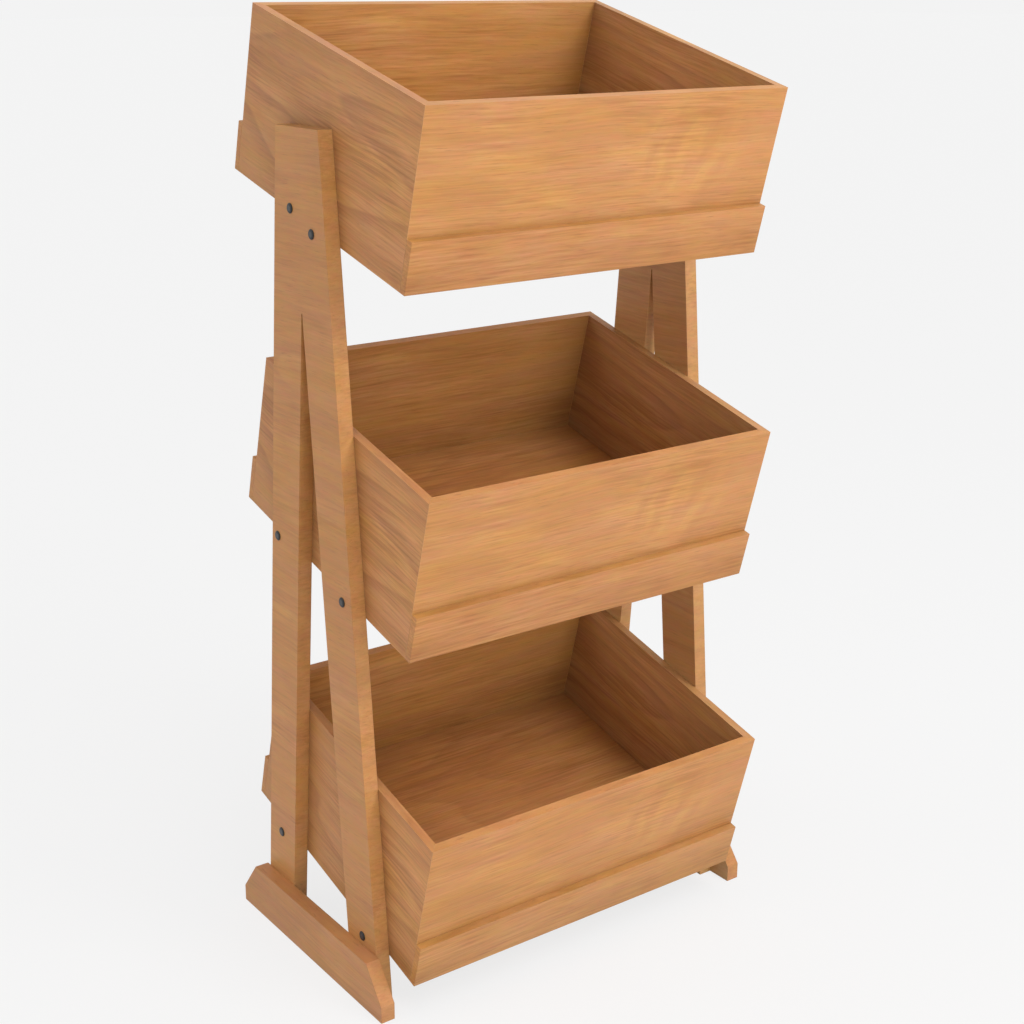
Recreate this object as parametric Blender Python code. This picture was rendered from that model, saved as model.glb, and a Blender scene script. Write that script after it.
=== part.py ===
"""A-frame display rack: three tilted wooden crates bolted between two splayed side frames.

X runs across the rack, the front faces -Y and the rack stands on Z = 0. All sizes are in metres.
"""

import math

import bmesh
import bpy

# Crates. Their heights and depths are measured along and square to the tilted floor.
CRATE_WIDTH = 0.550
CRATE_DEPTH = 0.400
CRATE_HEIGHT = 0.220
CRATE_TILT_DEGREES = 15.0
CRATE_PITCH = 0.451
WALL_THICKNESS = 0.012
FLOOR_THICKNESS = 0.010
GROOVE_DEPTH = 0.004
LIP_HEIGHT = 0.065
LIP_THICKNESS = 0.010
# Depth of the recess under a crate's floor, where the nuts sit.
RECESS_HEIGHT = 0.024

# Side frames, each an A cut from one panel.
# The stance is taken over the outer edges of both legs at the ground.
STANCE = 0.300
LEG_WIDTH = 0.070
PANEL_THICKNESS = 0.020
# Height of the solid head of the panel, above the point where the inner edges of the legs would meet.
HEAD_HEIGHT = 0.216
# Radius of the cutter that rounds the narrow end of the slot.
SLOT_END_RADIUS = 0.001
# Top of the panel above the middle of the top crate's lower edge.
PANEL_TOP_RISE = 0.122
FOOT_HEIGHT = 0.070
FOOT_THICKNESS = 0.020
FOOT_OVERHANG = 0.0375
FOOT_SLOPE_RUN = 0.036
FOOT_END_HEIGHT = 0.0233
# Lower edge of the bottom crate above the foot, where it crosses the middle of the front leg.
CRATE_LIFT = 0.002

# Bolts, nuts and dowels. A square neck in the panel keeps a bolt from turning, so its low head is plain.
BOLT_DIAMETER = 0.005
BOLT_HEAD_DIAMETER = 0.013
BOLT_HEAD_HEIGHT = 0.0015
BOLT_HEAD_RIM = 0.0005
BOLT_CROWN_DIAMETER = 0.007
BOLT_POINT = 0.0006
NECK_ACROSS_FLATS = 0.0055
NECK_LENGTH = 0.003
THREAD_PAST_NUT = 0.003
NUT_ACROSS_FLATS = 0.008
NUT_HEIGHT = 0.004
NUT_CHAMFER = 0.0006
NUT_MARGIN = 0.001
DOWEL_DIAMETER = 0.008
DOWEL_CHAMFER = 0.001
DOWEL_EDGE = 0.020
# Wood left between the blind end of a dowel hole and the far face of its board.
DOWEL_COVER = 0.006

# Bolts stand this far from the middle line of their leg, away from the centre of the side frame.
TOP_FRONT_BOLT_OUT = 0.003
TOP_REAR_BOLT_OUT = -0.004
MIDDLE_FRONT_BOLT_OUT = 0.013
MIDDLE_REAR_BOLT_OUT = 0.020
BOTTOM_FRONT_BOLT_OUT = 0.003
BOTTOM_REAR_BOLT_OUT = 0.002
# Rear bolts of the top crate below its floor, and bolts of the bottom crate above its lower edge.
TOP_REAR_BOLT_DROP = 0.007
BOTTOM_BOLT_HEIGHT = 0.0095

# Clearance between neighbouring pieces, and how far a drill runs past the wood.
GAP = 0.0003
DRILL_PAST = 0.001

ROUND_SEGMENTS = 24
CROWN_STEPS = 2
SLOT_END_STEPS = 6
SMOOTH_DEGREES = 40.0
SQUARE = 4
HEXAGON = 6

# Finishes: colour, roughness, metallic.
PANEL_WOOD = ((0.46, 0.25, 0.125, 1.0), 0.45, 0.0)
FOOT_WOOD = ((0.47, 0.25, 0.12, 1.0), 0.45, 0.0)
WALL_WOOD = ((0.54, 0.27, 0.12, 1.0), 0.42, 0.0)
FLOOR_WOOD = ((0.44, 0.21, 0.09, 1.0), 0.5, 0.0)
LIP_WOOD = ((0.52, 0.25, 0.11, 1.0), 0.42, 0.0)
DOWEL_WOOD = ((0.62, 0.46, 0.29, 1.0), 0.6, 0.0)
BLACK_STEEL = ((0.025, 0.025, 0.028, 1.0), 0.4, 0.7)
ZINC_STEEL = ((0.55, 0.56, 0.58, 1.0), 0.35, 1.0)

SIDES = (("left", -1), ("right", 1))
ENDS = (("front", -1), ("rear", 1))

# Sizes that follow from the ones above.
tilt = math.radians(CRATE_TILT_DEGREES)
tilt_cos = math.cos(tilt)
tilt_sin = math.sin(tilt)
floor_top = RECESS_HEIGHT + FLOOR_THICKNESS
bottom_crate_height = FOOT_HEIGHT + CRATE_LIFT + (STANCE - LEG_WIDTH) / 2 * math.tan(tilt)
middle_crate_height = bottom_crate_height + CRATE_PITCH
top_crate_height = middle_crate_height + CRATE_PITCH
panel_top = top_crate_height + PANEL_TOP_RISE
meeting_height = panel_top - HEAD_HEIGHT

# The legs lean so that the lines of their inner edges meet on the centre plane, under the head.
slot_line = math.hypot(STANCE / 2, meeting_height)
splay = math.acos(LEG_WIDTH / slot_line) - math.atan2(meeting_height, STANCE / 2)
lean = math.tan(splay)
leg_run = LEG_WIDTH / math.cos(splay)

crate_side = CRATE_WIDTH / 2
wall_inner = crate_side - WALL_THICKNESS
panel_inner = crate_side + GAP
panel_outer = panel_inner + PANEL_THICKNESS
foot_inner = panel_outer + GAP
foot_outer = foot_inner + FOOT_THICKNESS
foot_reach = STANCE / 2 + FOOT_OVERHANG

# The frame's centre plane is moved so that the whole rack is centred on Y = 0.
rim_reach = CRATE_DEPTH / 2 * tilt_cos + CRATE_HEIGHT * tilt_sin
lip_back_reach = (CRATE_DEPTH / 2 + GAP + LIP_THICKNESS) * tilt_cos
lip_front_reach = lip_back_reach + LIP_HEIGHT * tilt_sin
front_reach = max(rim_reach, lip_front_reach, foot_reach)
rear_reach = max(lip_back_reach, foot_reach)
frame_y = (front_reach - rear_reach) / 2

# The front bolts of the top crate sit as near to its lower edge as their nuts can.
nut_clear = NUT_ACROSS_FLATS / 2 + NUT_MARGIN

CRATES = (
    ("bottom", bottom_crate_height),
    ("middle", middle_crate_height),
    ("top", top_crate_height),
)

# For each crate and end: height above the crate's lower edge, distance out from the leg's middle line.
BOLT_PLACES = {
    ("top", "front"): (nut_clear, TOP_FRONT_BOLT_OUT),
    ("top", "rear"): (RECESS_HEIGHT - TOP_REAR_BOLT_DROP, TOP_REAR_BOLT_OUT),
    ("middle", "front"): (RECESS_HEIGHT / 2, MIDDLE_FRONT_BOLT_OUT),
    ("middle", "rear"): (RECESS_HEIGHT / 2, MIDDLE_REAR_BOLT_OUT),
    ("bottom", "front"): (BOTTOM_BOLT_HEIGHT, BOTTOM_FRONT_BOLT_OUT),
    ("bottom", "rear"): (BOTTOM_BOLT_HEIGHT, BOTTOM_REAR_BOLT_OUT),
}


def clear_scene():
    for obj in list(bpy.data.objects):
        bpy.data.objects.remove(obj)


def guide(name, parent, location, rotation=(0.0, 0.0, 0.0)):
    obj = bpy.data.objects.new(name, None)
    obj.parent = parent
    obj.location = location
    obj.rotation_euler = rotation
    bpy.context.scene.collection.objects.link(obj)
    return obj


def loft(name, parent, rings, hollow=False):
    """A solid through matching rings of points. A hollow one runs back to its first ring and has no ends."""
    shape = bmesh.new()
    loops = [[shape.verts.new(point) for point in ring] for ring in rings]
    steps = list(zip(loops, loops[1:]))
    if hollow:
        steps.append((loops[-1], loops[0]))
    else:
        shape.faces.new(loops[0])
        shape.faces.new(loops[-1])
    for first, second in steps:
        for index in range(len(first)):
            shape.faces.new((first[index - 1], first[index], second[index], second[index - 1]))
    bmesh.ops.recalc_face_normals(shape, faces=shape.faces[:])
    mesh = bpy.data.meshes.new(name)
    shape.to_mesh(mesh)
    shape.free()
    obj = bpy.data.objects.new(name, mesh)
    obj.parent = parent
    bpy.context.scene.collection.objects.link(obj)
    return obj


def finish(obj, look):
    colour, roughness, metallic = look
    material = bpy.data.materials.new(obj.name)
    material.use_nodes = True
    shader = material.node_tree.nodes["Principled BSDF"]
    shader.inputs["Base Color"].default_value = colour
    shader.inputs["Roughness"].default_value = roughness
    shader.inputs["Metallic"].default_value = metallic
    material.diffuse_color = colour
    obj.data.materials.append(material)
    return obj


def smooth(obj):
    obj.data.shade_smooth()
    obj.data.set_sharp_from_angle(angle=math.radians(SMOOTH_DEGREES))
    return obj


def drill(board, cutters):
    """All the holes of one board, cut together."""
    group = bpy.data.collections.new(f"{board.name}_holes")
    for cutter in cutters:
        group.objects.link(cutter)
    holes = board.modifiers.new("holes", "BOOLEAN")
    holes.operation = "DIFFERENCE"
    holes.solver = "EXACT"
    holes.operand_type = "COLLECTION"
    holes.collection = group


def board_between(name, parent, outline, x_low, x_high):
    """A flat board with a (y, z) outline, between two X planes."""
    rings = [[(x, y, z) for y, z in outline] for x in (x_low, x_high)]
    return loft(name, parent, rings)


def box(name, parent, low, high):
    outline = [(low[1], low[2]), (high[1], low[2]), (high[1], high[2]), (low[1], high[2])]
    return board_between(name, parent, outline, low[0], high[0])


def turns():
    return [2 * math.pi * step / ROUND_SEGMENTS for step in range(ROUND_SEGMENTS)]


def round_ring(x, centre, radius):
    return [(x, centre[0] + radius * math.cos(turn), centre[1] + radius * math.sin(turn)) for turn in turns()]


def polygon_ring(x, centre, sides, across_flats, largest=math.inf):
    """A polygon with flats above and below, its corners cut back to the largest radius."""
    sector = 2 * math.pi / sides
    ring = []
    for turn in turns():
        from_flat = (turn - math.pi / 2 + sector / 2) % sector - sector / 2
        radius = min(across_flats / 2 / math.cos(from_flat), largest)
        ring.append((x, centre[0] + radius * math.cos(turn), centre[1] + radius * math.sin(turn)))
    return ring


def drill_cutter(name, parent, rings):
    cutter = smooth(loft(name, parent, rings))
    cutter.hide_render = True
    cutter.display_type = "WIRE"
    return cutter


def dowel_cutter(name, rack, centre, x_low, x_high):
    rings = [round_ring(x, centre, DOWEL_DIAMETER / 2 + GAP) for x in (x_low, x_high)]
    return drill_cutter(name, rack, rings)


def bolt_cutter(name, crate, side, centre):
    """A round hole through wall and panel, with a square mouth for the bolt's neck."""
    radius = BOLT_DIAMETER / 2 + GAP
    mouth = NECK_ACROSS_FLATS + 2 * GAP
    mouth_start = panel_outer - NECK_LENGTH - GAP
    rings = [
        round_ring(side * (wall_inner - DRILL_PAST), centre, radius),
        round_ring(side * mouth_start, centre, radius),
        polygon_ring(side * mouth_start, centre, SQUARE, mouth),
        polygon_ring(side * (panel_outer + DRILL_PAST), centre, SQUARE, mouth),
    ]
    return drill_cutter(name, crate, rings)


def mitred_wall(name, crate, across, side):
    """A grooved crate wall, mitred at both ends, that runs along X when across is true and else along Y."""
    length = CRATE_WIDTH if across else CRATE_DEPTH
    outer_face = (CRATE_DEPTH if across else CRATE_WIDTH) / 2
    groove_end = WALL_THICKNESS - GROOVE_DEPTH - GAP
    groove_low = RECESS_HEIGHT - GAP
    groove_high = floor_top + GAP
    section = [
        (0.0, 0.0),
        (0.0, CRATE_HEIGHT),
        (WALL_THICKNESS, CRATE_HEIGHT),
        (WALL_THICKNESS, groove_high),
        (groove_end, groove_high),
        (groove_end, groove_low),
        (WALL_THICKNESS, groove_low),
        (WALL_THICKNESS, 0.0),
    ]
    mitre_relief = GAP / math.sqrt(2)
    rings = []
    for end in (-1, 1):
        ring = []
        for depth, height in section:
            along = end * (length / 2 - depth - mitre_relief)
            inward = side * (outer_face - depth)
            ring.append((along, inward, height) if across else (inward, along, height))
        rings.append(ring)
    return finish(loft(name, crate, rings), WALL_WOOD)


def lip(name, crate, side):
    near = CRATE_DEPTH / 2 + GAP
    far = near + LIP_THICKNESS
    low = (-crate_side, min(side * near, side * far), 0.0)
    high = (crate_side, max(side * near, side * far), LIP_HEIGHT)
    return finish(box(name, crate, low, high), LIP_WOOD)


def crate_floor(name, crate):
    half_width = wall_inner + GROOVE_DEPTH
    half_depth = CRATE_DEPTH / 2 - WALL_THICKNESS + GROOVE_DEPTH
    low = (-half_width, -half_depth, RECESS_HEIGHT)
    high = (half_width, half_depth, floor_top)
    return finish(box(name, crate, low, high), FLOOR_WOOD)


def leg_middle(height, end):
    """Y of the middle line of a leg at a height above the ground."""
    return end * (STANCE / 2 - leg_run / 2 - height * lean)


def slot_end():
    """Points round the narrow end of the slot, from the front leg's inner edge to the rear leg's."""
    centre = meeting_height - SLOT_END_RADIUS / math.sin(splay)
    points = []
    for step in range(SLOT_END_STEPS + 1):
        turn = math.pi - splay - (math.pi - 2 * splay) * step / SLOT_END_STEPS
        points.append((SLOT_END_RADIUS * math.cos(turn), centre + SLOT_END_RADIUS * math.sin(turn)))
    return points


def side_panel(name, rack, side):
    """An A-shaped board: two splayed legs, a solid head and a tapering slot between the legs."""
    half_stance = STANCE / 2
    half_top = half_stance - panel_top * lean
    half_slot = half_stance - leg_run
    outline = [(-half_top, panel_top), (-half_stance, 0.0), (-half_slot, 0.0)]
    outline += slot_end()
    outline += [(half_slot, 0.0), (half_stance, 0.0), (half_top, panel_top)]
    return finish(board_between(name, rack, outline, side * panel_inner, side * panel_outer), PANEL_WOOD)


def foot(name, rack, side):
    shoulder = foot_reach - FOOT_SLOPE_RUN
    outline = [
        (-foot_reach, 0.0),
        (foot_reach, 0.0),
        (foot_reach, FOOT_END_HEIGHT),
        (shoulder, FOOT_HEIGHT),
        (-shoulder, FOOT_HEIGHT),
        (-foot_reach, FOOT_END_HEIGHT),
    ]
    return finish(board_between(name, rack, outline, side * foot_inner, side * foot_outer), FOOT_WOOD)


def dowel(name, rack, centre, x_low, x_high):
    radius = DOWEL_DIAMETER / 2
    tip = radius - DOWEL_CHAMFER
    rings = [
        round_ring(x_low, centre, tip),
        round_ring(x_low + DOWEL_CHAMFER, centre, radius),
        round_ring(x_high - DOWEL_CHAMFER, centre, radius),
        round_ring(x_high, centre, tip),
    ]
    return finish(smooth(loft(name, rack, rings)), DOWEL_WOOD)


def bolt(name, crate, side, centre, tip):
    """A bolt with a plain head outside the panel, a square neck, and its tip this far from the middle."""
    shank = BOLT_DIAMETER / 2
    head = BOLT_HEAD_DIAMETER / 2
    crown = BOLT_CROWN_DIAMETER / 2
    under_head = panel_outer + GAP
    neck_start = panel_outer - NECK_LENGTH
    rings = [
        round_ring(side * tip, centre, shank - BOLT_POINT),
        round_ring(side * (tip + BOLT_POINT), centre, shank),
        round_ring(side * neck_start, centre, shank),
        polygon_ring(side * neck_start, centre, SQUARE, NECK_ACROSS_FLATS),
        polygon_ring(side * under_head, centre, SQUARE, NECK_ACROSS_FLATS),
        round_ring(side * under_head, centre, head),
    ]
    for step in range(CROWN_STEPS + 1):
        turn = math.pi / 2 * step / CROWN_STEPS
        radius = crown + (head - crown) * math.cos(turn)
        rise = BOLT_HEAD_RIM + (BOLT_HEAD_HEIGHT - BOLT_HEAD_RIM) * math.sin(turn)
        rings.append(round_ring(side * (under_head + rise), centre, radius))
    return finish(smooth(loft(name, crate, rings)), BLACK_STEEL)


def nut(name, crate, side, centre, far):
    """A hexagon nut whose inner face is at distance far from the middle, against the wall of the crate."""
    near = far - NUT_HEIGHT
    bore = BOLT_DIAMETER / 2 + GAP
    face_radius = NUT_ACROSS_FLATS / 2 / math.cos(math.pi / 6) - NUT_CHAMFER
    rings = [
        round_ring(side * far, centre, bore),
        polygon_ring(side * far, centre, HEXAGON, NUT_ACROSS_FLATS, face_radius),
        polygon_ring(side * (far - NUT_CHAMFER), centre, HEXAGON, NUT_ACROSS_FLATS),
        polygon_ring(side * (near + NUT_CHAMFER), centre, HEXAGON, NUT_ACROSS_FLATS),
        polygon_ring(side * near, centre, HEXAGON, NUT_ACROSS_FLATS, face_radius),
        round_ring(side * near, centre, bore),
    ]
    return finish(smooth(loft(name, crate, rings, hollow=True)), ZINC_STEEL)


def bolt_centre(crate_height, bolt_height, end, out):
    """Where a crate's bolt meets its leg: depth behind the crate's middle, height above its lower edge."""
    from_centre = STANCE / 2 - leg_run / 2 + out - (crate_height + bolt_height * tilt_cos) * lean
    depth = (bolt_height * tilt_sin + end * from_centre) / (tilt_cos + end * tilt_sin * lean)
    return depth, bolt_height


def build_foot(rack, side_name, side):
    """One foot and the dowels that hold it to its panel. Returns the cutters of the dowel holes."""
    bar = foot(f"{side_name}_foot", rack, side)
    cutters = []
    hole_reach = sorted((side * (panel_inner + DOWEL_COVER), side * (foot_outer - DOWEL_COVER)))
    for end_name, end in ENDS:
        for level, height in (("lower", DOWEL_EDGE), ("upper", FOOT_HEIGHT - DOWEL_EDGE)):
            name = f"{side_name}_{end_name}_{level}_dowel"
            centre = (leg_middle(height, end), height)
            cutters.append(dowel_cutter(f"{name}_hole", rack, centre, *hole_reach))
            dowel(name, rack, centre, hole_reach[0] + GAP, hole_reach[1] - GAP)
    drill(bar, cutters)
    return cutters


def build_crate(rack, crate_name, crate_height, panel_cutters):
    """One crate, with its bolts and nuts. The cutters of its bolt holes are added to each panel's cutters."""
    crate = guide(f"{crate_name}_crate", rack, (0.0, 0.0, crate_height), (tilt, 0.0, 0.0))
    mitred_wall(f"{crate_name}_crate_front_wall", crate, True, -1)
    mitred_wall(f"{crate_name}_crate_back_wall", crate, True, 1)
    crate_floor(f"{crate_name}_crate_floor", crate)
    lip(f"{crate_name}_crate_front_lip", crate, -1)
    lip(f"{crate_name}_crate_back_lip", crate, 1)
    nut_face = wall_inner - GAP
    bolt_tip = nut_face - NUT_HEIGHT - THREAD_PAST_NUT
    for side_name, side in SIDES:
        wall = mitred_wall(f"{crate_name}_crate_{side_name}_wall", crate, False, side)
        cutters = []
        for end_name, end in ENDS:
            name = f"{side_name}_{crate_name}_{end_name}"
            bolt_height, out = BOLT_PLACES[crate_name, end_name]
            centre = bolt_centre(crate_height, bolt_height, end, out)
            cutters.append(bolt_cutter(f"{name}_bolt_hole", crate, side, centre))
            bolt(f"{name}_bolt", crate, side, centre, bolt_tip)
            nut(f"{name}_nut", crate, side, centre, nut_face)
        drill(wall, cutters)
        panel_cutters[side_name].extend(cutters)


clear_scene()
display_rack = guide("display_rack", None, (0.0, frame_y, 0.0))
hole_cutters = {side_name: build_foot(display_rack, side_name, side) for side_name, side in SIDES}
for crate_label, height_of_crate in CRATES:
    build_crate(display_rack, crate_label, height_of_crate, hole_cutters)
for frame_side, side_sign in SIDES:
    frame_panel = side_panel(f"{frame_side}_frame", display_rack, side_sign)
    drill(frame_panel, hole_cutters[frame_side])
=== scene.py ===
"""Looks of the A-frame display rack: honey-brown wood, black bolts, a pale studio floor and soft light."""

import math
from dataclasses import dataclass

import bmesh
import bpy
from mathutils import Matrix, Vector


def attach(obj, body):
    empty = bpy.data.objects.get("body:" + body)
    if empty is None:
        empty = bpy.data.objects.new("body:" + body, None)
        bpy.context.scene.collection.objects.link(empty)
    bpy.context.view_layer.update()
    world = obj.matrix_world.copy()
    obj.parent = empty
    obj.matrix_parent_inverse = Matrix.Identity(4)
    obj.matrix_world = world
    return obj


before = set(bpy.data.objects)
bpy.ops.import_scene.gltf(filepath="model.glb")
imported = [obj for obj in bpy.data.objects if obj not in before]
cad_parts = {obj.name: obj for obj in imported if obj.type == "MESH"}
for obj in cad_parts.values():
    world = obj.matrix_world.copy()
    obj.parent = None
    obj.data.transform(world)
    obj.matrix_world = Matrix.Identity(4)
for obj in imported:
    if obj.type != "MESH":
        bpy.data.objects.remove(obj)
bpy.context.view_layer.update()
scene = bpy.context.scene

# Sockets of a node that mixes colours.
MIX_FACTOR = 0
MIX_FIRST = 6
MIX_SECOND = 7
MIX_RESULT = 2
# Rays that look for corners and edges, the value round which noise and figure lie, and degrees of a
# quarter turn.
RAY_COUNT = 4
MIDDLE = 0.5
QUARTER_TURN = 90.0


@dataclass
class Texture:
    """Noise: features to the metre along each axis, detail, roughness, and the values that become 0 and 1."""

    stretch: tuple
    detail: float
    roughness: float
    low: float = 0.0
    high: float = 1.0


@dataclass
class Finish:
    """Steel: colour, tone of the painted highlight on flat ends, how metallic it is, and its smoothest and
    roughest spots.
    """

    colour: tuple
    crown_highlight: float
    metallic: float
    smoothest: float
    roughest: float


# Camera: place in metres, angles in degrees, lens and sensor in millimetres, and the optical axis as a share
# of the picture from its middle.
CAMERA_PLACE = (-1.2804, -1.7469, 1.2921)
CAMERA_PITCH = -16.527
CAMERA_YAW = -35.532
CAMERA_LENS = 58.11
CAMERA_SENSOR = 36.0
CAMERA_SHIFT = (0.0257, -0.0377)

# Even light from all round, and lamps without falloff.
# For each lamp: name, direction of the source, strength and apparent width in degrees.
WORLD_STRENGTH = 0.39
SUNS = (
    ("front_lamp", (-0.1, -1.0, 0.1), 0.90, 40.0),
    ("left_lamp", (-1.0, 0.5, 0.6), 0.38, 40.0),
    ("top_lamp", (0.0, -0.3, 1.0), 0.79, 40.0),
)
# A square soft box in front of the upper crate, in metres and watts.
SOFT_BOX_PLACE = (0.8, -2.0, 2.2)
SOFT_BOX_AIM = (0.0, 0.0, 0.75)
SOFT_BOX_SIZE = 1.0
SOFT_BOX_POWER = 22.0

# The studio: pale grey all round, with a floor that takes a faint shadow.
WHITE = (1.0, 1.0, 1.0, 1.0)
BACKDROP = (0.896, 0.896, 0.896, 1.0)
FLOOR_COLOUR = (0.80, 0.80, 0.80, 1.0)
FLOOR_ROUGHNESS = 0.9
FLOOR_GLOW = 0.98
SHADOW_SHARE = 0.2
FLOOR_SIZE = 120.0

# The crates lean to the front by this angle, in degrees, about X.
CRATE_TILT = 15.0
CRATE_NAMES = ("bottom", "middle", "top")

# The clear coat bridges the hairline joints between boards. Its film stays a hair clear of them.
FILM_CLEARANCE = 0.00006
FILM_THICKNESS = 0.00018
WELD_DISTANCE = FILM_CLEARANCE / 10
# Cosines by which the mitred and the flat faces under a film are told.
MITRE_COSINES = (0.6, 0.8)
FLAT_COSINE = 0.9

# Honey-brown wood, from the dark to the light streaks, and raw beech.
HONEY_TONES = ((0.480, 0.205, 0.066), (0.618, 0.286, 0.098), (0.715, 0.360, 0.136))
BEECH_TONES = ((0.52, 0.36, 0.21), (0.62, 0.45, 0.28), (0.70, 0.54, 0.36))
PORE_COLOUR = (0.300, 0.120, 0.043)
EDGE_HIGHLIGHT_COLOUR = (0.740, 0.415, 0.190)
# Factors for the patches of other hues, the growth lines, the marks across the grain, and the painted shade
# in corners.
GOLDEN = (1.02, 1.02, 0.88, 1.0)
ROSY = (0.995, 0.955, 1.12, 1.0)
RUDDY = (1.03, 0.965, 1.0, 1.0)
MELLOW = (0.97, 1.035, 1.0, 1.0)
GROWTH_LINE = (0.79, 0.75, 0.79, 1.0)
FLAME_PALE = (1.06, 1.11, 1.03, 1.0)
FLAME_DUSKY = (0.93, 0.90, 0.93, 1.0)
INNER_CORNER_SHADE = (0.59, 0.71, 0.73, 1.0)
OUTER_CORNER_SHADE = (0.93, 1.08, 1.06, 1.0)
BACK_CORNER_SHADE = (0.545, 0.56, 0.49, 1.0)
FRONT_CORNER_SHADE = (0.65, 0.78, 0.75, 1.0)
# How far from a corner its painted shade reaches, in metres, and the share of open sky at which it is
# darkest.
CORNER_REACH = 0.2
CORNER_DEEPEST = 0.2

# Each figure has its own place in the noise: steps from one to the next, and where they start again.
FIGURE_STEPS = (3.17, 1.93, 2.71)
FIGURE_SPANS = (11.0, 7.0, 5.0)
# How far the fibres wander, in metres: everywhere, and besides where growth lines show.
WANDER = Texture((3.0, 4.0, 8.0), 2.0, 0.5)
WANDER_SWING = 0.016
GROWTH_SWING = 0.020
# What the figure is mixed from. The fibres' share differs from board to board, and the streaks have the rest.
STREAKS = Texture((2.6, 20.0, 42.0), 5.0, 0.72, 0.30, 0.70)
FIBRES = Texture((11.0, 70.0, 360.0), 3.0, 0.6, 0.28, 0.72)
CLOUDS = Texture((11.0, 16.0, 16.0), 2.5, 0.5, 0.32, 0.68)
CLOUD_SHARE = 0.20
# Calm and lively places, how much of the figure they keep, and how far it reaches from the middle tone.
LIVELINESS = Texture((5.0, 9.0, 13.0), 2.0, 0.5, 0.34, 0.66)
LIVELY_RANGE = (0.50, 1.35)
FIGURE_REACH = 0.38
PORES = Texture((40.0, 200.0, 900.0), 2.0, 0.5, 0.60, 0.74)
PORE_SHARE = 0.35
LARGE_PATCHES = Texture((8.0, 16.0, 34.0), 4.0, 0.75, 0.34, 0.66)
SMALL_PATCHES = Texture((30.0, 60.0, 120.0), 3.0, 0.75, 0.34, 0.66)
# Growth lines: the field that they follow, how many there are, where a line begins and is darkest on its way
# from 0 to 1, and how strong it is where clouds are dark and light.
GROWTH_FIELD = Texture((1.5, 3.0, 7.0), 1.0, 0.5)
GROWTH_COUNT = 9.0
GROWTH_BEGIN = 0.40
GROWTH_PEAK = 0.92
GROWTH_CLOUDS = (0.2, 0.8)
GROWTH_RANGE = (0.35, 1.0)
# The flamed place on a front wall: its middle and reach in metres from the middle of the board, the share of
# it that is flamed in full, the slant of its bands in degrees, and the values that are pale and dusky.
FLAME_PLACE = (0.125, 0.0, 0.035)
FLAME_REACH = (0.110, 1.0, 0.085)
FLAME_CORE = 0.35
FLAME_BANDS = Texture((42.0, 8.0, 15.0), 1.0, 0.5)
FLAME_SLANT = -24.0
PALE_VALUES = (0.52, 0.66)
DUSKY_VALUES = (0.44, 0.30)
# Edges with a painted highlight: radius in metres, cosine of the turn at which it is full, share of the
# highlight colour and added roughness.
EDGE_RADIUS = 0.0012
EDGE_TURN = 0.75
EDGE_HIGHLIGHT_SHARE = 0.40
EDGE_ROUGHNESS = 0.05
# The coat: how strongly it mirrors, its roughness from hollows to crests, and the relief of the fibres.
COAT_SPECULAR = 0.32
COAT_ROUGHNESS = (0.42, 0.52)
FIBRE_RELIEF = 0.5
RELIEF_STRENGTH = 0.10
RELIEF_DEPTH = 0.0004

# Steel: uneven patches, fine specks, tones of patches and rubbed edges, and relief.
STEEL_STEP = (0.31, 0.17, 0.23)
STEEL_CLOUDS = Texture((260.0, 260.0, 260.0), 3.0, 0.6, 0.3, 0.7)
STEEL_SPECKS = Texture((1900.0, 1900.0, 1900.0), 2.0, 0.5, 0.35, 0.65)
STEEL_DARK = 0.82
STEEL_LIGHT = 1.18
STEEL_RUBBED = 2.2
STEEL_RUBBED_SHARE = 0.3
STEEL_EDGE_RADIUS = 0.0004
STEEL_RELIEF_STRENGTH = 0.1
STEEL_RELIEF_DEPTH = 0.0001
# How squarely a flat end faces outwards for its painted highlight, from not at all to in full.
CROWN_FACING = (0.990, 0.999)
BLACK_STEEL = Finish((0.022, 0.022, 0.023), 3.0, 0.4, 0.34, 0.46)
BRIGHT_STEEL = Finish((0.56, 0.57, 0.59), 1.0, 1.0, 0.28, 0.42)

# For each kind of board, by the end of its name: tint, contrast, strength of growth lines and share of fine
# fibres.
# The right frame and right walls are tinted paler and bluer, painted light for their faces in shade.
BOARD_KINDS = (
    ("left_frame", (1.06, 1.06, 1.06), 0.80, 0.40, 0.40),
    ("right_frame", (1.04, 1.11, 1.18), 0.80, 0.40, 0.40),
    ("_foot", (1.02, 0.96, 1.03), 0.90, 0.35, 0.40),
    ("_lip", (0.985, 0.96, 0.95), 1.20, 0.25, 0.44),
    ("front_wall", (1.08, 1.08, 1.06), 1.08, 0.25, 0.46),
    ("back_wall", (1.06, 1.10, 1.02), 1.15, 0.35, 0.48),
    ("left_wall", (1.06, 1.05, 1.06), 1.05, 1.00, 0.55),
    ("right_wall", (1.04, 1.14, 1.25), 1.05, 1.00, 0.55),
    ("_floor", (1.10, 1.10, 1.06), 1.25, 0.50, 0.50),
    ("_dowel", (1.00, 1.00, 1.00), 1.00, 0.20, 0.30),
)
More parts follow.
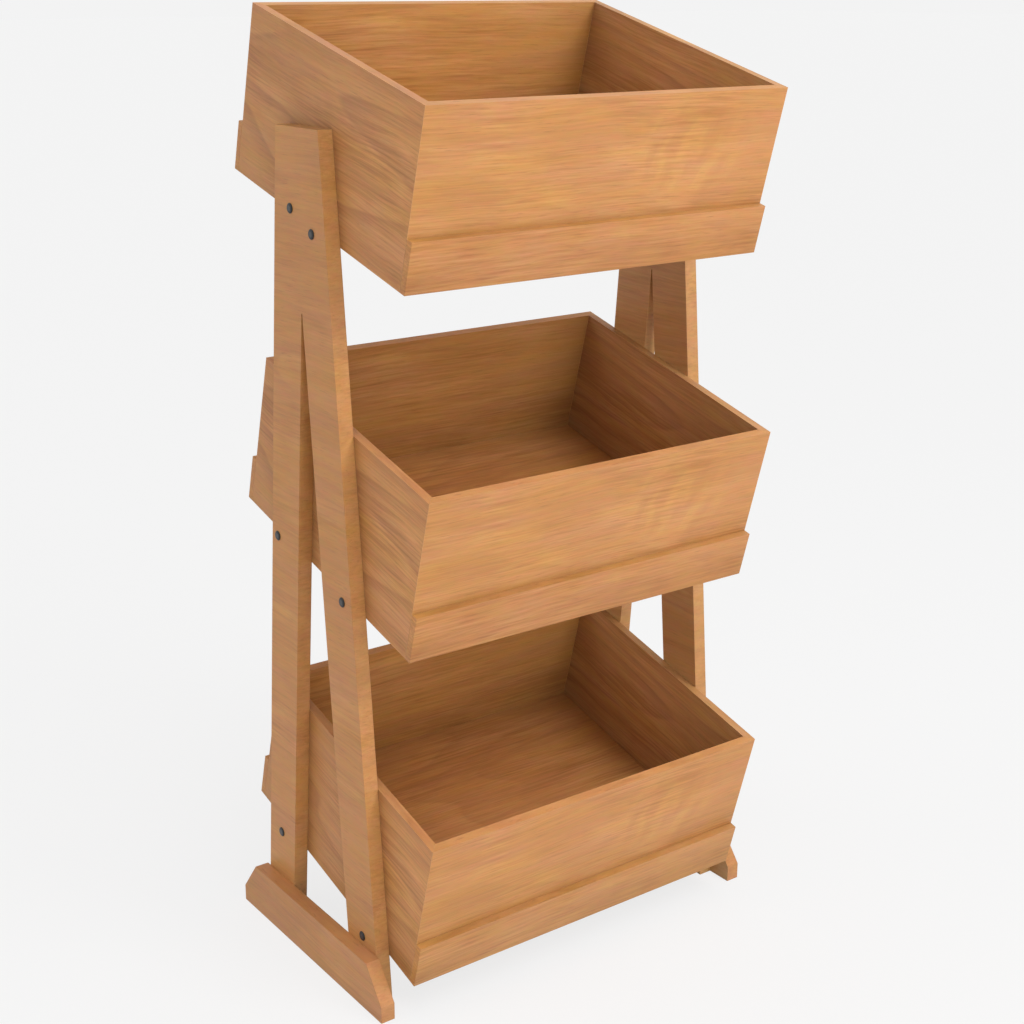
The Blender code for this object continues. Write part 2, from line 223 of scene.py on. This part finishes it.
# Faces painted lighter or darker than the rest of their piece, for the light and shade that falls on them:
# end of its name, way they face, and factors.
PAINTED_FACE_LIGHT = (
    ("_frame", (0.0, 0.0, 1.0), (0.66, 0.63, 0.62, 1.0)),
    ("right_frame", (1.0, 0.0, 0.0), (1.02, 0.955, 0.90, 1.0)),
    ("right_frame_film", (-1.0, 0.0, 0.0), (0.96, 1.02, 1.09, 1.0)),
    ("right_wall", (1.0, 0.0, 0.0), (1.02, 0.92, 0.85, 1.0)),
    ("back_wall", (0.0, 1.0, 0.0), (1.02, 0.98, 1.04, 1.0)),
    ("back_wall", (0.0, -1.0, 0.0), (1.015, 1.04, 1.055, 1.0)),
    ("bottom_crate_back_wall", (0.0, -1.0, 0.0), (1.07, 1.12, 1.12, 1.0)),
    ("middle_crate_back_wall", (0.0, -1.0, 0.0), (0.95, 0.97, 0.98, 1.0)),
    ("bottom_crate_right_wall", (-1.0, 0.0, 0.0), (1.04, 1.09, 1.12, 1.0)),
    ("middle_crate_right_wall", (-1.0, 0.0, 0.0), (0.97, 1.00, 1.05, 1.0)),
    ("front_lip", (0.0, 0.0, 1.0), (0.87, 0.90, 0.83, 1.0)),
    ("front_lip", (-1.0, 0.0, 0.0), (1.09, 1.08, 1.07, 1.0)),
    ("front_lip", (1.0, 0.0, 0.0), (1.09, 1.08, 1.07, 1.0)),
)
# Cosine between a face and that way, from not at all to in full.
FACE_COSINES = (0.5, 0.9)
# The side walls of the crates are painted lighter to the front, as the light falls: half their length in
# metres, and tones of their ends.
SIDE_REACH = 0.2
SIDE_LIGHT_TONES = (0.94, 1.07)
# The front lips are painted lighter at the top, as the light falls: heights from their middle in metres, and
# tones there.
LIP_HEIGHTS = (-0.004, 0.030)
LIP_LIGHT_TONES = (0.97, 1.08)


@dataclass
class Board:
    """How the grain lies in a board, and how the board differs from the others."""

    name: str
    seed: int
    middle: tuple
    turn: tuple
    tones: tuple
    tint: tuple
    contrast: float
    lines: float
    fibres: float

    @property
    def figure_place(self):
        return tuple(self.seed * step % span for step, span in zip(FIGURE_STEPS, FIGURE_SPANS))

    # The painted shade for this board's corners.
    @property
    def corner(self):
        if self.name.endswith("back_wall"):
            return BACK_CORNER_SHADE
        if self.name.endswith("front_wall"):
            return FRONT_CORNER_SHADE
        inner = ("left_wall", "right_wall", "_floor")
        return INNER_CORNER_SHADE if self.name.endswith(inner) else OUTER_CORNER_SHADE

    @property
    def painted_face_light(self):
        return [(way, factors) for ending, way, factors in PAINTED_FACE_LIGHT if self.name.endswith(ending)]

    @property
    def on_side(self):
        return self.name.endswith(("left_wall", "right_wall"))

    @property
    def front_lip(self):
        return self.name.endswith("front_lip")

    @property
    def flamed(self):
        return self.name.endswith("front_wall")

    @property
    def mitred(self):
        return self.name.endswith(("_wall", "_film"))


class Graph:
    """A new material and short names for the nodes that these looks are made of."""

    def __init__(self, name):
        self.material = bpy.data.materials.new(name)
        self.material.use_nodes = True
        self.tree = self.material.node_tree
        self.shader = self.tree.nodes["Principled BSDF"]

    def node(self, kind, settings=None, inputs=None):
        made = self.tree.nodes.new(kind)
        for key, value in (settings or {}).items():
            setattr(made, key, value)
        for key, value in (inputs or {}).items():
            self.feed(made.inputs[key], value)
        return made

    def feed(self, socket, value):
        if isinstance(value, bpy.types.NodeSocket):
            self.tree.links.new(value, socket)
        else:
            socket.default_value = value

    def finish(self, inputs):
        for key, value in inputs.items():
            self.feed(self.shader.inputs[key], value)
        return self.material

    def vector(self, operation, first, second, output="Vector"):
        made = self.node("ShaderNodeVectorMath", {"operation": operation}, {0: first, 1: second})
        return made.outputs[output]

    def math(self, operation, first, second=0.0):
        return self.node("ShaderNodeMath", {"operation": operation}, {0: first, 1: second}).outputs[0]

    def spread(self, value, low, high, to_low=0.0, to_high=1.0):
        inputs = {"Value": value, "From Min": low, "From Max": high, "To Min": to_low, "To Max": to_high}
        return self.node("ShaderNodeMapRange", {"clamp": True}, inputs).outputs["Result"]

    def turned(self, vector, degrees):
        inputs = {"Vector": vector, "Rotation": tuple(math.radians(angle) for angle in degrees)}
        return self.node("ShaderNodeMapping", None, inputs).outputs["Vector"]

    def noise(self, vector, texture, output="Fac"):
        inputs = {
            "Vector": self.vector("MULTIPLY", vector, texture.stretch),
            "Scale": 1.0,
            "Detail": texture.detail,
            "Roughness": texture.roughness,
        }
        return self.node("ShaderNodeTexNoise", {"noise_dimensions": "3D"}, inputs).outputs[output]

    def pattern(self, vector, texture, to_low=0.0, to_high=1.0):
        """The noise, spread from the texture's low and high values."""
        return self.spread(self.noise(vector, texture), texture.low, texture.high, to_low, to_high)

    def mix(self, factor, first, second, blend="MIX"):
        made = self.node("ShaderNodeMix", {"data_type": "RGBA", "blend_type": blend})
        self.feed(made.inputs[MIX_FACTOR], factor)
        self.feed(made.inputs[MIX_FIRST], first)
        self.feed(made.inputs[MIX_SECOND], second)
        return made.outputs[MIX_RESULT]

    def ramp(self, factor, stops):
        made = self.node("ShaderNodeValToRGB", None, {"Fac": factor})
        elements = made.color_ramp.elements
        while len(elements) < len(stops):
            elements.new(MIDDLE)
        for element, (place, colour) in zip(elements, stops):
            element.position = place
            element.color = opaque(colour)
        return made.outputs["Color"]

    def normal(self):
        return self.node("ShaderNodeNewGeometry").outputs["True Normal"]

    def rounded(self, radius):
        """The normal as it would be with rounded edges, and how far it turns away there."""
        normal = self.node("ShaderNodeBevel", {"samples": RAY_COUNT}, {"Radius": radius}).outputs["Normal"]
        facing = self.vector("DOT_PRODUCT", normal, self.normal(), "Value")
        return normal, self.spread(facing, 1.0, EDGE_TURN)


def toned(colour, tone):
    return tuple(channel * tone for channel in colour)


def tinted(colour, tint):
    return tuple(channel * share for channel, share in zip(colour, tint))


def opaque(colour):
    return (*colour, 1.0)


def wood(board):
    """Satin wood. The grain runs along the board's first axis, and its second one goes through the board."""
    graph = Graph(f"{board.name}_look")
    coordinates = graph.node("ShaderNodeTexCoord").outputs["Object"]
    own = graph.turned(graph.vector("SUBTRACT", coordinates, board.middle), board.turn)
    placed = graph.vector("ADD", own, board.figure_place)

    # The fibres wander slowly to either side of a straight line, most where growth lines show.
    wander = graph.vector("SUBTRACT", graph.noise(placed, WANDER, "Color"), (MIDDLE,) * 3)
    swing = WANDER_SWING + GROWTH_SWING * board.lines
    grain = graph.vector("ADD", placed, graph.vector("MULTIPLY", wander, (0.0, swing, swing)))

    streaks = graph.pattern(grain, STREAKS)
    fibres = graph.pattern(grain, FIBRES)
    clouds = graph.pattern(placed, CLOUDS)
    pores = graph.pattern(grain, PORES)
    lively = graph.pattern(placed, LIVELINESS, *LIVELY_RANGE)

    figure = graph.math("MULTIPLY", streaks, 1.0 - CLOUD_SHARE - board.fibres)
    figure = graph.math("ADD", figure, graph.math("MULTIPLY", fibres, board.fibres))
    figure = graph.math("ADD", figure, graph.math("MULTIPLY", clouds, CLOUD_SHARE))
    figure = graph.math("MULTIPLY", graph.math("SUBTRACT", figure, MIDDLE), lively)
    figure = graph.math("ADD", figure, MIDDLE)
    dark, mid, light = (tinted(tone, board.tint) for tone in board.tones)
    reach = FIGURE_REACH / board.contrast
    colour = graph.ramp(figure, ((MIDDLE - reach, dark), (MIDDLE, mid), (MIDDLE + reach, light)))
    pore = opaque(tinted(PORE_COLOUR, board.tint))
    colour = graph.mix(graph.math("MULTIPLY", pores, PORE_SHARE), colour, pore)
    colour = hue_patches(graph, grain, colour)
    colour = growth_lines(graph, board, grain, clouds, colour)
    if board.flamed:
        colour = flame(graph, own, placed, colour)
    # Painted light: side walls lighter towards the front.
    if board.on_side:
        along = graph.vector("DOT_PRODUCT", own, (1.0, 0.0, 0.0), "Value")
        tone = graph.spread(along, SIDE_REACH, -SIDE_REACH, *SIDE_LIGHT_TONES)
        colour = graph.mix(1.0, colour, tone, "MULTIPLY")
    # Painted light: front lips lighter towards the top.
    if board.front_lip:
        height = graph.vector("DOT_PRODUCT", own, (0.0, 0.0, 1.0), "Value")
        tone = graph.spread(height, *LIP_HEIGHTS, *LIP_LIGHT_TONES)
        colour = graph.mix(1.0, colour, tone, "MULTIPLY")
    # Painted shade: corners darken by how little open sky they see.
    occlusion = graph.node("ShaderNodeAmbientOcclusion", {"samples": RAY_COUNT}, {"Distance": CORNER_REACH})
    corner = graph.spread(occlusion.outputs["AO"], 1.0, CORNER_DEEPEST)
    colour = graph.mix(corner, colour, board.corner, "MULTIPLY")
    # Painted light and shade, by the way each face turns.
    for way, factors in board.painted_face_light:
        facing = graph.vector("DOT_PRODUCT", graph.normal(), way, "Value")
        colour = graph.mix(graph.spread(facing, *FACE_COSINES), colour, factors, "MULTIPLY")

    # Painted highlight: edges lighter towards their rounding.
    rounded, edge = graph.rounded(EDGE_RADIUS)
    edge_highlight = opaque(tinted(EDGE_HIGHLIGHT_COLOUR, board.tint))
    gloss = graph.spread(fibres, 0.0, 1.0, *COAT_ROUGHNESS)
    relief = graph.math("SUBTRACT", graph.math("MULTIPLY", fibres, FIBRE_RELIEF), pores)
    inputs = {"Strength": RELIEF_STRENGTH, "Distance": RELIEF_DEPTH, "Height": relief}
    bump = graph.node("ShaderNodeBump", None, inputs)
    if not board.mitred:
        graph.feed(bump.inputs["Normal"], rounded)
    return graph.finish({
        "Base Color": graph.mix(graph.math("MULTIPLY", edge, EDGE_HIGHLIGHT_SHARE), colour, edge_highlight),
        "Roughness": graph.math("ADD", gloss, graph.math("MULTIPLY", edge, EDGE_ROUGHNESS)),
        "Specular IOR Level": COAT_SPECULAR,
        "Normal": bump.outputs["Normal"],
    })


def hue_patches(graph, grain, colour):
    """Golden or rosy patches, and smaller ruddy or mellow ones over them."""
    large = graph.mix(graph.pattern(grain, LARGE_PATCHES), GOLDEN, ROSY)
    small = graph.mix(graph.pattern(grain, SMALL_PATCHES), RUDDY, MELLOW)
    return graph.mix(1.0, graph.mix(1.0, colour, large, "MULTIPLY"), small, "MULTIPLY")


def growth_lines(graph, board, grain, clouds, colour):
    """Dusky lines that follow a slow field, each sharp on one side, and that come and go."""
    field = graph.noise(grain, GROWTH_FIELD)
    step = graph.math("FRACT", graph.math("MULTIPLY", field, GROWTH_COUNT))
    rise = graph.spread(step, GROWTH_BEGIN, GROWTH_PEAK)
    line = graph.math("MULTIPLY", rise, graph.spread(step, 1.0, GROWTH_PEAK))
    shown = graph.math("MULTIPLY", line, graph.spread(clouds, *GROWTH_CLOUDS, *GROWTH_RANGE))
    return graph.mix(graph.math("MULTIPLY", shown, board.lines), colour, GROWTH_LINE, "MULTIPLY")


def flame(graph, own, placed, colour):
    """Pale bands across the grain, in one place on the board, with dusky lines beside them."""
    away = graph.vector("DIVIDE", graph.vector("SUBTRACT", own, FLAME_PLACE), FLAME_REACH)
    near = graph.spread(graph.vector("LENGTH", away, (0.0, 0.0, 0.0), "Value"), 1.0, FLAME_CORE)
    bands = graph.noise(graph.turned(placed, (0.0, FLAME_SLANT, 0.0)), FLAME_BANDS)
    pale = graph.math("MULTIPLY", near, graph.spread(bands, *PALE_VALUES))
    dusky = graph.math("MULTIPLY", near, graph.spread(bands, *DUSKY_VALUES))
    colour = graph.mix(pale, colour, FLAME_PALE, "MULTIPLY")
    return graph.mix(dusky, colour, FLAME_DUSKY, "MULTIPLY")


def steel(name, seed, finish):
    """Plated or blackened steel with a faintly uneven finish, rubbed edges and a painted highlight on flat
    ends.
    """
    graph = Graph(name)
    coordinates = graph.node("ShaderNodeTexCoord").outputs["Object"]
    placed = graph.vector("ADD", coordinates, toned(STEEL_STEP, seed))
    clouds = graph.pattern(placed, STEEL_CLOUDS)
    specks = graph.pattern(placed, STEEL_SPECKS)
    tones = (STEEL_DARK, STEEL_LIGHT, finish.crown_highlight, STEEL_RUBBED)
    dark, light, highlighted, rubbed = (opaque(toned(finish.colour, tone)) for tone in tones)
    # Painted highlight: flat ends that face along X are lighter.
    outward = graph.vector("DOT_PRODUCT", graph.normal(), (1.0, 0.0, 0.0), "Value")
    crown = graph.spread(graph.math("ABSOLUTE", outward), *CROWN_FACING)
    shade = graph.mix(crown, graph.mix(clouds, dark, light), highlighted)
    rounded, edge = graph.rounded(STEEL_EDGE_RADIUS)
    bump = graph.node("ShaderNodeBump", None, {
        "Strength": STEEL_RELIEF_STRENGTH,
        "Distance": STEEL_RELIEF_DEPTH,
        "Height": specks,
        "Normal": rounded,
    })
    return graph.finish({
        "Base Color": graph.mix(graph.math("MULTIPLY", edge, STEEL_RUBBED_SHARE), shade, rubbed),
        "Roughness": graph.spread(specks, 0.0, 1.0, finish.smoothest, finish.roughest),
        "Metallic": finish.metallic,
        "Normal": bump.outputs["Normal"],
    })


def middle_of(node_name):
    corners = [Vector(corner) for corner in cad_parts[node_name].bound_box]
    return tuple(sum(corners, Vector()) / len(corners))


def grain_turn(node_name):
    """Degrees about X, Y and Z that bring the grain to the first axis and the thickness to the second."""
    if node_name.endswith("_dowel"):
        return (0.0, 0.0, 0.0)
    if "crate" not in node_name:
        return (0.0, 0.0, -QUARTER_TURN)
    if node_name.endswith(("left_wall", "right_wall")):
        return (-CRATE_TILT, 0.0, -QUARTER_TURN)
    if node_name.endswith("_floor"):
        return (-CRATE_TILT - QUARTER_TURN, 0.0, 0.0)
    return (-CRATE_TILT, 0.0, 0.0)


def board_for(name, node_name, seed):
    """The board of a node, or for a piece with another name the wood that goes on from that node."""
    looks = next(rest for ending, *rest in BOARD_KINDS if node_name.endswith(ending))
    tones = BEECH_TONES if node_name.endswith("_dowel") else HONEY_TONES
    return Board(name, seed, middle_of(node_name), grain_turn(node_name), tones, *looks)


def kind_of(node_name):
    """A node's name without its crate's. The crates are alike, so like boards have the same figure."""
    return "_".join(word for word in node_name.split("_") if word not in CRATE_NAMES)


def figure_seeds():
    kinds = sorted({kind_of(name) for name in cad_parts})
    return {name: kinds.index(kind_of(name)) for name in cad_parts}


def dress_all(seeds):
    for name, seed in seeds.items():
        if name.endswith("_bolt"):
            material = steel(f"{name}_look", seed, BLACK_STEEL)
        elif name.endswith("_nut"):
            material = steel(f"{name}_look", seed, BRIGHT_STEEL)
        else:
            material = wood(board_for(name, name, seed))
        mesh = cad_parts[name].data
        mesh.materials.clear()
        mesh.materials.append(material)


def add_film(name, joints, like, seed):
    """Clear coat that bridges joints. Each joint is a node and the way its joined face looks, as a test."""
    shape = bmesh.new()
    for node_name, is_joined in joints:
        source = bmesh.new()
        source.from_mesh(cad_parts[node_name].data)
        for face in source.faces:
            if is_joined(face.normal):
                lifted = [vert.co + face.normal * FILM_CLEARANCE for vert in face.verts]
                shape.faces.new([shape.verts.new(place) for place in lifted])
        source.free()
    bmesh.ops.remove_doubles(shape, verts=shape.verts[:], dist=WELD_DISTANCE)
    mesh = bpy.data.meshes.new(name)
    shape.to_mesh(mesh)
    shape.free()
    mesh.materials.append(wood(board_for(name, like, seed)))
    film = bpy.data.objects.new(name, mesh)
    thickness = film.modifiers.new("thickness", "SOLIDIFY")
    thickness.thickness = FILM_THICKNESS
    thickness.offset = 1.0
    scene.collection.objects.link(film)
    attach(film, "root")


def add_films(seeds):
    def mitred(normal):
        return MITRE_COSINES[0] < abs(normal.x) < MITRE_COSINES[1]

    def to_rear(normal):
        return normal.y > FLAT_COSINE

    def to_front(normal):
        return normal.y < -FLAT_COSINE

    def to_right(normal):
        return normal.x > FLAT_COSINE

    def to_left(normal):
        return normal.x < -FLAT_COSINE

    for crate in CRATE_NAMES:
        wall = f"{crate}_crate_left_wall"
        joints = [
            (wall, mitred),
            (f"{crate}_crate_right_wall", mitred),
            (f"{crate}_crate_front_lip", to_rear),
            (f"{crate}_crate_back_lip", to_front),
        ]
        add_film(f"{crate}_crate_film", joints, wall, seeds[wall])
    for side, inward in (("left", to_right), ("right", to_left)):
        board = f"{side}_frame"
        add_film(f"{side}_frame_film", [(board, inward), (f"{side}_foot", inward)], board, seeds[board])


def add_camera():
    data = bpy.data.cameras.new("camera")
    data.sensor_width = CAMERA_SENSOR
    data.lens = CAMERA_LENS
    data.shift_x, data.shift_y = CAMERA_SHIFT
    camera = bpy.data.objects.new("camera", data)
    camera.location = CAMERA_PLACE
    camera.rotation_euler = (math.radians(QUARTER_TURN + CAMERA_PITCH), 0.0, math.radians(CAMERA_YAW))
    scene.collection.objects.link(camera)
    scene.camera = camera


def add_lamp(name, kind, source, settings):
    """A lamp that shines from the direction of its source to the origin."""
    data = bpy.data.lights.new(name, kind)
    for key, value in settings.items():
        setattr(data, key, value)
    lamp = bpy.data.objects.new(name, data)
    lamp.rotation_euler = Vector(source).to_track_quat("Z", "Y").to_euler()
    scene.collection.objects.link(lamp)
    return lamp


def add_lamps():
    for name, source, strength, width in SUNS:
        add_lamp(name, "SUN", source, {"energy": strength, "angle": math.radians(width)})
    source = Vector(SOFT_BOX_PLACE) - Vector(SOFT_BOX_AIM)
    settings = {"shape": "SQUARE", "size": SOFT_BOX_SIZE, "energy": SOFT_BOX_POWER}
    add_lamp("soft_box", "AREA", source, settings).location = SOFT_BOX_PLACE


def seen_directly(tree):
    """One for rays that look at the backdrop: straight from the camera, mirrored or through glass."""
    path = tree.nodes.new("ShaderNodeLightPath")
    seen = path.outputs["Is Camera Ray"]
    for name in ("Is Glossy Ray", "Is Transmission Ray"):
        either = tree.nodes.new("ShaderNodeMath")
        either.operation = "MAXIMUM"
        tree.links.new(seen, either.inputs[0])
        tree.links.new(path.outputs[name], either.inputs[1])
        seen = either.outputs[0]
    return seen


def blend(tree, factor, first, second):
    mixer = tree.nodes.new("ShaderNodeMixShader")
    if isinstance(factor, bpy.types.NodeSocket):
        tree.links.new(factor, mixer.inputs[0])
    else:
        mixer.inputs[0].default_value = factor
    tree.links.new(first, mixer.inputs[1])
    tree.links.new(second, mixer.inputs[2])
    return mixer.outputs[0]


def add_world():
    world = bpy.data.worlds.new("studio")
    world.use_nodes = True
    tree = world.node_tree
    light = tree.nodes["Background"]
    light.inputs["Color"].default_value = WHITE
    light.inputs["Strength"].default_value = WORLD_STRENGTH
    backdrop = tree.nodes.new("ShaderNodeBackground")
    backdrop.inputs["Color"].default_value = BACKDROP
    backdrop.inputs["Strength"].default_value = 1.0
    mixed = blend(tree, seen_directly(tree), light.outputs[0], backdrop.outputs[0])
    tree.links.new(mixed, tree.nodes["World Output"].inputs["Surface"])
    scene.world = world


def add_floor():
    half = FLOOR_SIZE / 2
    corners = [(-half, -half, 0.0), (half, -half, 0.0), (half, half, 0.0), (-half, half, 0.0)]
    mesh = bpy.data.meshes.new("studio_floor")
    mesh.from_pydata(corners, [], [(0, 1, 2, 3)])
    floor = bpy.data.objects.new("studio_floor", mesh)
    material = bpy.data.materials.new("studio_floor")
    material.use_nodes = True
    tree = material.node_tree
    matt = tree.nodes["Principled BSDF"]
    matt.inputs["Base Color"].default_value = FLOOR_COLOUR
    matt.inputs["Roughness"].default_value = FLOOR_ROUGHNESS
    matt.inputs["Specular IOR Level"].default_value = 0.0
    glow = tree.nodes.new("ShaderNodeEmission")
    glow.inputs["Color"].default_value = WHITE
    glow.inputs["Strength"].default_value = FLOOR_GLOW
    shown = blend(tree, SHADOW_SHARE, glow.outputs[0], matt.outputs[0])
    mixed = blend(tree, seen_directly(tree), matt.outputs[0], shown)
    tree.links.new(mixed, tree.nodes["Material Output"].inputs["Surface"])
    mesh.materials.append(material)
    scene.collection.objects.link(floor)


scene.view_settings.view_transform = "Standard"
board_seeds = figure_seeds()
dress_all(board_seeds)
add_films(board_seeds)
add_camera()
add_lamps()
add_world()
add_floor()
